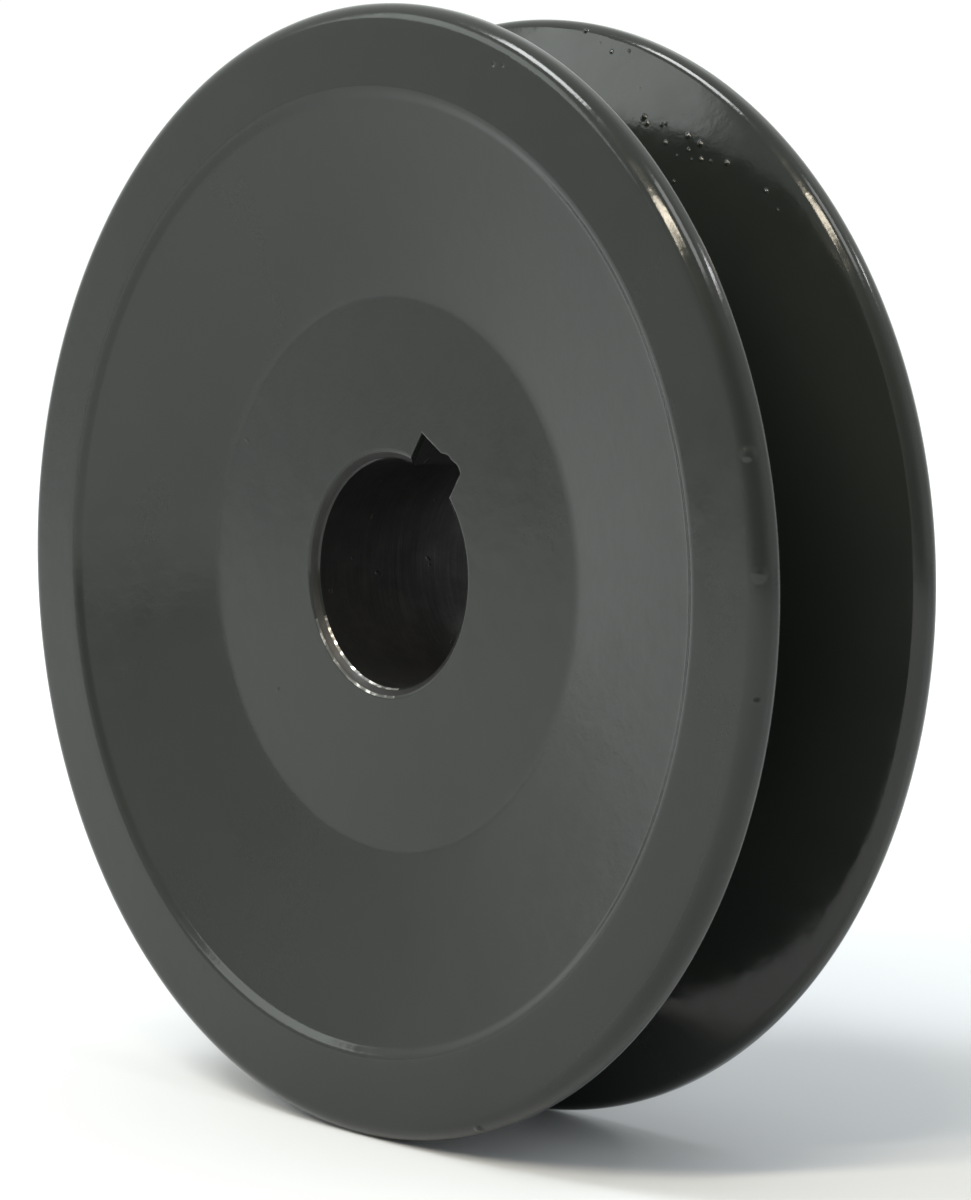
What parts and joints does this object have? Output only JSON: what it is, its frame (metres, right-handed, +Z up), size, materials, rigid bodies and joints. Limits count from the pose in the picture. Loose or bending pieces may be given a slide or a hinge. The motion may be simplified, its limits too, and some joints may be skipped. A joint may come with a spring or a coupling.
{
  "type": "v-belt pulley",
  "caption": "V-belt pulley: an enamelled iron sheave with a V-groove rim, dished sides, a keyed bore, a rear hub and radial socket set screws.",
  "frame": {"origin": "on the bore's axis, in the middle plane of the belt groove", "axes": "+Y along the bore from the recessed front face towards the rear hub; +Z up; +X to the right seen from the front; the keyway points 55.5 degrees from +X towards +Z"},
  "size_m": [0.0776, 0.0287, 0.0774],
  "materials": {
    "enamelled_iron": "dark green-grey enamel, satin to glossy, over cast iron; bore and keyway bare machined iron",
    "black_screw_steel": "black oxide on alloy steel, lightly oiled"
  },
  "bodies": {
    "sheave": {"sheave_casting": "enamelled_iron"},
    "keyway_screw": {"keyway_set_screw": "black_screw_steel"},
    "side_screw": {"side_set_screw": "black_screw_steel"}
  },
  "joints": [
    {"name": "keyway_screw_advance", "type": "slide", "parent": "sheave", "child": "keyway_screw", "axis": [-0.5664, 0, -0.8241], "range_m": [-0.0056, 0.0026]},
    {"name": "side_screw_advance", "type": "slide", "parent": "sheave", "child": "side_screw", "axis": [0.8241, 0, -0.5664], "range_m": [-0.0077, 0.0005]}
  ]
}
